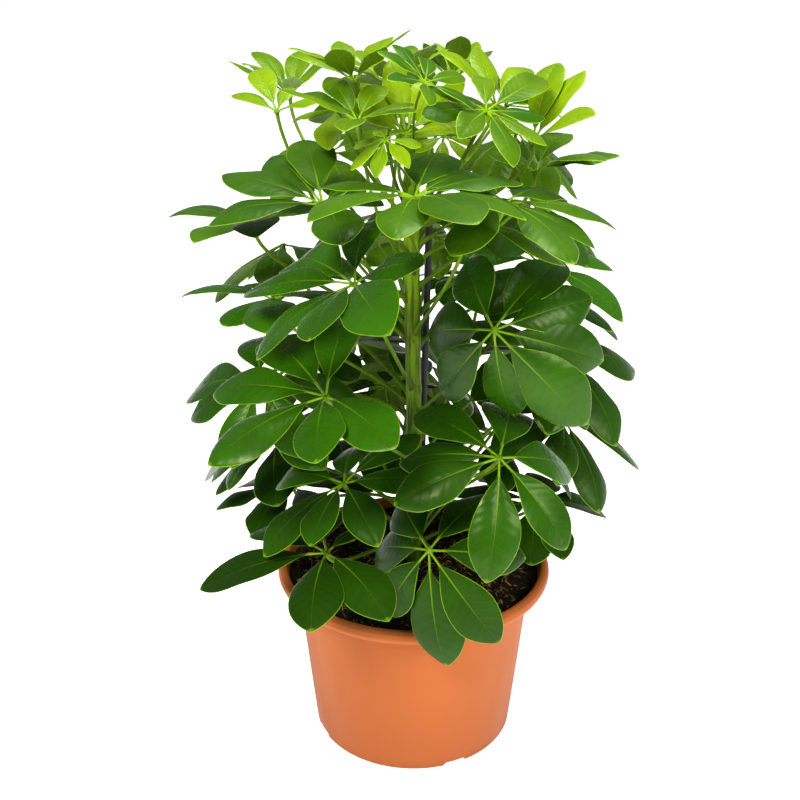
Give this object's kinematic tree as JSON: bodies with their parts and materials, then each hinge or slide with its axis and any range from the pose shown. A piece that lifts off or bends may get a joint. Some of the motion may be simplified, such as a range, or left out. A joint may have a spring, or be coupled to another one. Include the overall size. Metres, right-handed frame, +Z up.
{
  "type": "potted umbrella plant",
  "caption": "Dwarf umbrella plant with hand-shaped glossy leaves in tiers round a green trunk, standing in a round terracotta-coloured plastic nursery pot",
  "frame": {"origin": "Middle of the pot's base, on the floor: the flat pad in the middle of the pot's underside.", "axes": "+Z is up along the pot's axis. -Y is the side that faces the viewer in the picture, +X is the viewer's right."},
  "size_m": [0.3544, 0.3837, 0.5418],
  "materials": {
    "pot_plastic": "semi-matt terracotta-coloured plastic",
    "potting_soil": "moist crumbly potting mix",
    "cane_black": "dull black coating",
    "stem_green": "smooth green bark",
    "leaf_mature": "waxy, deep green",
    "leaf_upper": "waxy, mid green",
    "leaf_crown": "waxy, bright yellow-green",
    "leaf_young": "soft, pale green"
  },
  "bodies": {
    "root": {"pot": "pot_plastic", "soil": "potting_soil", "support_cane": "cane_black", "main_stem": "stem_green", "leaf_01": "leaf_mature", "leaf_02": "leaf_mature", "leaf_03": "leaf_mature", "leaf_04": "leaf_mature", "leaf_05": "leaf_mature", "leaf_06": "leaf_mature", "leaf_07": "leaf_mature", "leaf_08": "leaf_mature", "leaf_09": "leaf_mature", "leaf_10": "leaf_mature", "leaf_11": "leaf_mature", "leaf_12": "leaf_mature", "leaf_13": "leaf_mature", "leaf_14": "leaf_mature", "leaf_15": "leaf_mature", "leaf_16": "leaf_mature", "leaf_17": "leaf_mature", "leaf_18": "leaf_mature", "leaf_19": "leaf_mature", "leaf_20": "leaf_mature", "leaf_21": "leaf_mature", "leaf_22": "leaf_mature", "leaf_23": "leaf_mature", "leaf_24": "leaf_upper", "leaf_25": "leaf_mature", "leaf_26": "leaf_upper", "leaf_27": "leaf_mature", "leaf_28": "leaf_upper", "leaf_29": "leaf_upper", "leaf_30": "leaf_upper", "leaf_31": "leaf_upper", "leaf_32": "leaf_upper", "leaf_33": "leaf_crown", "leaf_34": "leaf_upper", "leaf_35": "leaf_upper", "leaf_36": "leaf_crown", "leaf_37": "leaf_upper", "leaf_38": "leaf_crown", "leaf_39": "leaf_upper", "leaf_40": "leaf_crown", "leaf_41": "leaf_upper", "leaf_42": "leaf_upper", "leaf_43": "leaf_crown", "leaf_44": "leaf_crown", "leaf_45": "leaf_crown", "leaf_46": "leaf_crown", "leaf_47": "leaf_crown", "leaf_48": "leaf_crown", "leaf_49": "leaf_crown", "leaf_50": "leaf_crown", "leaf_51": "leaf_crown", "leaf_52": "leaf_young", "leaf_53": "leaf_young"}
  },
  "joints": []
}
